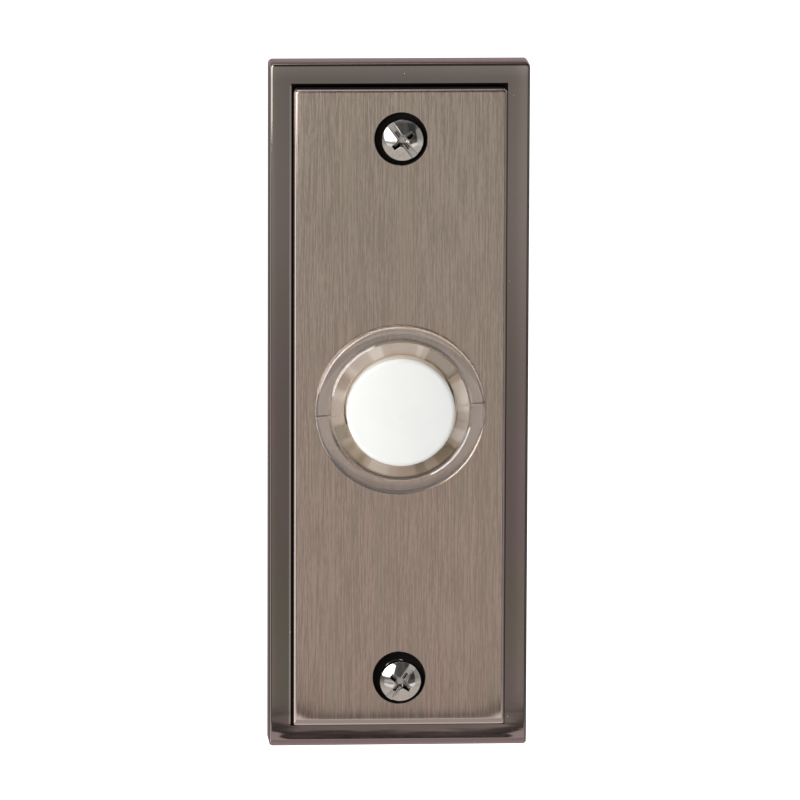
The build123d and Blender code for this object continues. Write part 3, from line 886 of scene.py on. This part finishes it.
def return_spring():
    """The coil under the button, made at one length; the real spring shortens as the button is
    pressed.
    """
    steps = round(SPRING_TURNS * SPRING_STEPS)
    sides = SPRING_SIDES
    wire = SPRING_WIRE / 2
    radius = (SPRING_HIGH.x - SPRING_LOW.x) / 2 - wire
    start = SPRING_HIGH.y - wire
    end = SPRING_LOW.y + wire
    points = []
    for step in range(steps + 1):
        turn = tau * SPRING_TURNS * step / steps
        outward = Vector((cos(turn), 0, sin(turn)))
        centre = outward * radius + Vector((0, start + (end - start) * step / steps, 0))
        for side in range(sides):
            around = tau * side / sides
            points.append(centre + wire * (cos(around) * outward + Vector((0, sin(around), 0))))
    faces = grid_faces(steps + 1, sides)
    faces += [tuple(reversed(range(sides))), tuple(range(len(points) - sides, len(points)))]
    piece = new_piece("coil_spring", closed_mesh("coil_spring", points, faces), "spring_steel")
    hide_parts("return_spring")
    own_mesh(piece)


def thread_points(place):
    """Rings of points down one screw behind the wall, and how many rings they are: a ridge that
    winds round the shank and runs out at the point."""
    rows = round(SCREW_END / THREAD_PITCH * THREAD_STEPS)
    points = []
    for row in range(rows + 1):
        along = SCREW_END * row / rows
        taper = min(1.0, (SCREW_END - along) / SCREW_POINT)
        crest = SCREW_TIP + (THREAD_CREST - SCREW_TIP) * taper
        start = min(1.0, along / THREAD_PITCH)
        depth = (THREAD_CREST - THREAD_ROOT) * start * min(1.0, THREAD_RUN_OUT * taper)
        for side in range(THREAD_SIDES):
            turn = tau * side / THREAD_SIDES
            phase = along / THREAD_PITCH - side / THREAD_SIDES
            ridge = abs(2 * (phase - floor(phase)) - 1)
            radius = crest - depth * min(1.0, THREAD_STEEPNESS * ridge)
            points.append((place[0] + radius * cos(turn), along, place[1] + radius * sin(turn)))
    return points, rows + 1


def mounting_screws():
    """The two screws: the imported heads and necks, with wood-screw threads behind the wall."""
    mesh = NODES["mounting_screws"].data.copy()
    made = bmesh.new()
    made.from_mesh(mesh)
    behind = [face for face in made.faces if face.calc_center_median().y > BEHIND_WALL]
    bmesh.ops.delete(made, geom=behind, context="FACES")
    for place in SCREW_PLACES:
        points, rows = thread_points(place)
        ring = [made.verts.new(point) for point in points]
        for face in grid_faces(rows, THREAD_SIDES):
            made.faces.new([ring[corner] for corner in reversed(face)])
        made.faces.new(list(reversed(ring[-THREAD_SIDES:])))
    made.to_mesh(mesh)
    made.free()
    own_normals = mesh.attributes.get("custom_normal")
    if own_normals is not None:
        mesh.attributes.remove(own_normals)
    piece = new_piece("screw_pair", mesh, "bright_nickel")
    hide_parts("mounting_screws")


clear_bezel()
return_spring()
mounting_screws()


# Studio: floor and front screen. The screen's stops are places up or across it, with their level.
WHITE = grey(1)
FLOOR_DROP = 80.0 * MM
FLOOR_FRONT = -0.25
FLOOR_REACH = 4.0
FLOOR_COLOUR = (0.9, 0.9, 0.9, 1)
FLOOR_ROUGH = 0.8
FLOOR_GLOW = 0.8
SCREEN_Y = -2.0
SCREEN_REACH = 2.5
SCREEN_LOW = -1.2
SCREEN_MIDDLE = 0.5
SCREEN_COLOUR = (0.1, 0.1, 0.1, 1)
SCREEN_OWN_LIGHT = 0.05
TABLE_STOPS = ((0.165, 1.08), (0.18, 0.0))
PANEL_STOPS = (
    (0.195, 0.10), (0.215, 0.19), (0.240, 0.22), (0.258, 0.68), (0.275, 0.68), (0.295, 0.57),
    (0.33, 0.61), (0.355, 0.68), (0.37, 0.66), (0.388, 0.53), (0.43, 0.50), (0.47, 0.10), (1.0, 0.08),
)
SIDE_STOPS = (
    (0.0, 0.75), (0.12, 1.0), (0.40, 0.98), (0.47, 0.77), (0.55, 0.70), (0.585, 0.78),
    (0.657, 0.81), (0.70, 0.81), (0.92, 0.75), (1.0, 0.12),
)
PANEL_LEVEL = 1.4
RIGHT_MORE = 0.40
RIGHT_SPAN = (0.59, 0.66)

# Lamps: name, centre, width, height and radiance
LAMPS = (
    ("key_light", (-0.16, -0.21, 0.095), 0.17, 0.20, 4.6),
    ("left_card", (-0.35, -0.03, -0.05), 0.25, 0.5, 1.35),
    ("top_light", (-0.15, -0.15, 0.60), 0.5, 0.1, 2.5),
    ("right_fill", (0.60, -0.35, 0.05), 0.25, 0.6, 0.25),
    ("back_fill", (0.48, 0.55, 0.60), 0.6, 0.6, 1.5),
)

# Room: the levels that metal mirrors, and how far up, back or across each begins and is full
ROOM_FILL = grey(0.5)
ROOM_FRONT = grey(0.12)
ROOM_FRONT_LOW = (0.66, 0.63, 0.60)
ROOM_FRONT_SPAN = (0.1, -0.5)
ROOM_WALL = grey(0.8)
ROOM_WALL_LOW = grey(0.22)
ROOM_WALL_SPAN = (0.0, -0.15)
ROOM_GROUND = (1, 0.97, 0.95)
ROOM_GROUND_SPAN = (-0.25, -0.5)
ROOM_BACK_SPAN = (-0.05, 0.25)
ROOM_CEILING = grey(0.2)
ROOM_CEILING_SPAN = (0.3, 0.6)
ROOM_GLINT = (0.7, 0.67, 0.65)
ROOM_GLINT_SPAN = (0.86, 0.92)
ROOM_GLINT_ASIDE = (0.3, -0.1)

# Camera, fitted to the photograph's outline, with its angles in degrees
PICTURE = 800
FOCAL_PIXELS = 8272.3
CENTRE_PIXEL = (399.10, 407.11)
SENSOR = 36.0
CAMERA_TARGET = Vector((0, -6.0 * MM, 0))
CAMERA_AZIMUTH = -3.481
CAMERA_ELEVATION = 9.803
CAMERA_ROLL = 0.209
CAMERA_DISTANCE = 1.212884
CAMERA_NEAR = 0.05
CAMERA_FAR = 50


def seen_directly(tree, rays):
    """1 for what the eye sees, also through clear plastic, and 0 for reflections and light."""
    return largest(tree, rays["Is Camera Ray"], rays["Is Transmission Ray"])


def stage_sheet(name, corners, surface):
    """A flat sheet of the studio, which isn't part of the object."""
    mesh = bpy.data.meshes.new(name)
    mesh.from_pydata(corners, [], [(0, 1, 2, 3)])
    sheet = bpy.data.objects.new(name, mesh)
    bpy.context.scene.collection.objects.link(sheet)
    mesh.materials.append(surface)
    return sheet


def floor_surface():
    """White floor: pure white to the eye where it is lit, with the object's shadow on it."""
    made, tree, shader = material("studio_floor")
    shader.inputs["Base Color"].default_value = FLOOR_COLOUR
    shader.inputs["Roughness"].default_value = FLOOR_ROUGH
    shader.inputs["Emission Color"].default_value = (*WHITE, 1)
    eye = seen_directly(tree, tree.nodes.new("ShaderNodeLightPath").outputs)
    feed(tree, product(tree, eye, FLOOR_GLOW), shader.inputs["Emission Strength"])
    from_below = tree.nodes.new("ShaderNodeNewGeometry").outputs["Backfacing"]
    feed(tree, difference(tree, 1.0, from_below), shader.inputs["Alpha"])
    return made


def screen_surface():
    """The studio in front, on a grey sheet that glows: a pale table, a dark gap, a soft panel that
    the metal mirrors, and dark above it. The light that the sheet scatters is taken off its glow."""
    made, tree, shader = material("studio_screen")
    shader.inputs["Base Color"].default_value = SCREEN_COLOUR
    shader.inputs["Specular IOR Level"].default_value = 0.0
    shader.inputs["Emission Color"].default_value = (*WHITE, 1)
    x, _, z = place_axes(tree)
    height = total(tree, math(tree, "DIVIDE", z, -SCREEN_Y), SCREEN_MIDDLE)
    aside = total(tree, math(tree, "DIVIDE", x, -SCREEN_Y), SCREEN_MIDDLE)
    table = ramp(tree, height, *TABLE_STOPS)
    panel = ramp(tree, height, *PANEL_STOPS)
    sides = ramp(tree, aside, *SIDE_STOPS)
    more = product(tree, spread(tree, aside, *RIGHT_SPAN), RIGHT_MORE)
    lit = product(tree, panel, sides, total(tree, more, PANEL_LEVEL))
    glow = difference(tree, largest(tree, table, lit), SCREEN_OWN_LIGHT)
    feed(tree, largest(tree, glow, 0.0), shader.inputs["Emission Strength"])
    return made


def make_floor():
    """The floor under and behind the object, which metal doesn't mirror."""
    level = FRAME_LOW.z - FLOOR_DROP
    corners = [(-FLOOR_REACH, FLOOR_FRONT, level), (FLOOR_REACH, FLOOR_FRONT, level),
               (FLOOR_REACH, FLOOR_REACH, level), (-FLOOR_REACH, FLOOR_REACH, level)]
    ground = stage_sheet("studio_floor", corners, floor_surface())
    ground.visible_glossy = False


def make_screen():
    """The screen in front of the object, which only reflections and light see."""
    reach = SCREEN_REACH
    corners = [(-reach, SCREEN_Y, SCREEN_LOW), (-reach, SCREEN_Y, reach),
               (reach, SCREEN_Y, reach), (reach, SCREEN_Y, SCREEN_LOW)]
    screen = stage_sheet("studio_screen", corners, screen_surface())
    screen.visible_camera = False


def soft_box(name, centre, width, height, radiance):
    """A rectangular lamp that faces the object; the eye doesn't see it, its reflection does."""
    lamp = bpy.data.lights.new(name, "AREA")
    lamp.shape = "RECTANGLE"
    lamp.size = width
    lamp.size_y = height
    lamp.energy = radiance * pi * width * height
    holder = bpy.data.objects.new(name, lamp)
    bpy.context.scene.collection.objects.link(holder)
    holder.location = centre
    holder.rotation_euler = (-Vector(centre)).to_track_quat("-Z", "Y").to_euler()
    holder.visible_camera = False


def mirrored_room(tree):
    """What metal mirrors: dark in front, pale below and behind, and a glint high on the left."""
    x, y, z = axes(tree, tree.nodes.new("ShaderNodeTexCoord").outputs["Generated"])
    front = blend_colours(tree, spread(tree, z, *ROOM_FRONT_SPAN), ROOM_FRONT, ROOM_FRONT_LOW)
    wall = blend_colours(tree, spread(tree, z, *ROOM_WALL_SPAN), ROOM_WALL, ROOM_WALL_LOW)
    back = blend_colours(tree, spread(tree, z, *ROOM_GROUND_SPAN), wall, ROOM_GROUND)
    level = blend_colours(tree, spread(tree, y, *ROOM_BACK_SPAN), front, back)
    dim = blend_colours(tree, spread(tree, z, *ROOM_CEILING_SPAN), level, ROOM_CEILING)
    glint = product(tree, spread(tree, z, *ROOM_GLINT_SPAN), spread(tree, x, *ROOM_GLINT_ASIDE))
    return blend_colours(tree, glint, dim, ROOM_GLINT)


def make_world():
    """White to the eye, the room in reflections, and a soft fill for the rest."""
    world = bpy.data.worlds.new("studio")
    world.use_nodes = True
    tree = world.node_tree
    rays = tree.nodes.new("ShaderNodeLightPath").outputs
    unseen = blend_colours(tree, rays["Is Glossy Ray"], ROOM_FILL, mirrored_room(tree))
    colour = blend_colours(tree, seen_directly(tree, rays), unseen, WHITE)
    feed(tree, colour, tree.nodes["Background"].inputs["Color"])
    bpy.context.scene.world = world


def make_camera():
    """The photograph's camera: its place, its turn and where its centre falls in the picture."""
    azimuth = radians(CAMERA_AZIMUTH)
    elevation = radians(CAMERA_ELEVATION)
    roll = radians(CAMERA_ROLL)
    back = Vector((sin(azimuth) * cos(elevation), -cos(azimuth) * cos(elevation), sin(elevation)))
    right = Vector((cos(azimuth), sin(azimuth), 0))
    up = back.cross(right)
    turned_right = cos(roll) * right + sin(roll) * up
    turned_up = cos(roll) * up - sin(roll) * right
    lens = bpy.data.cameras.new("camera")
    lens.sensor_width = SENSOR
    lens.lens = FOCAL_PIXELS * SENSOR / PICTURE
    lens.shift_x = (PICTURE / 2 - CENTRE_PIXEL[0]) / PICTURE
    lens.shift_y = (CENTRE_PIXEL[1] - PICTURE / 2) / PICTURE
    lens.clip_start = CAMERA_NEAR
    lens.clip_end = CAMERA_FAR
    camera = bpy.data.objects.new("camera", lens)
    bpy.context.scene.collection.objects.link(camera)
    turned = Matrix((turned_right, turned_up, back)).transposed().to_4x4()
    camera.matrix_world = Matrix.Translation(CAMERA_TARGET + back * CAMERA_DISTANCE) @ turned
    bpy.context.scene.camera = camera


make_floor()
make_screen()
for lamp_values in LAMPS:
    soft_box(*lamp_values)
make_world()
make_camera()

scene = bpy.context.scene
scene.view_settings.view_transform = "Standard"
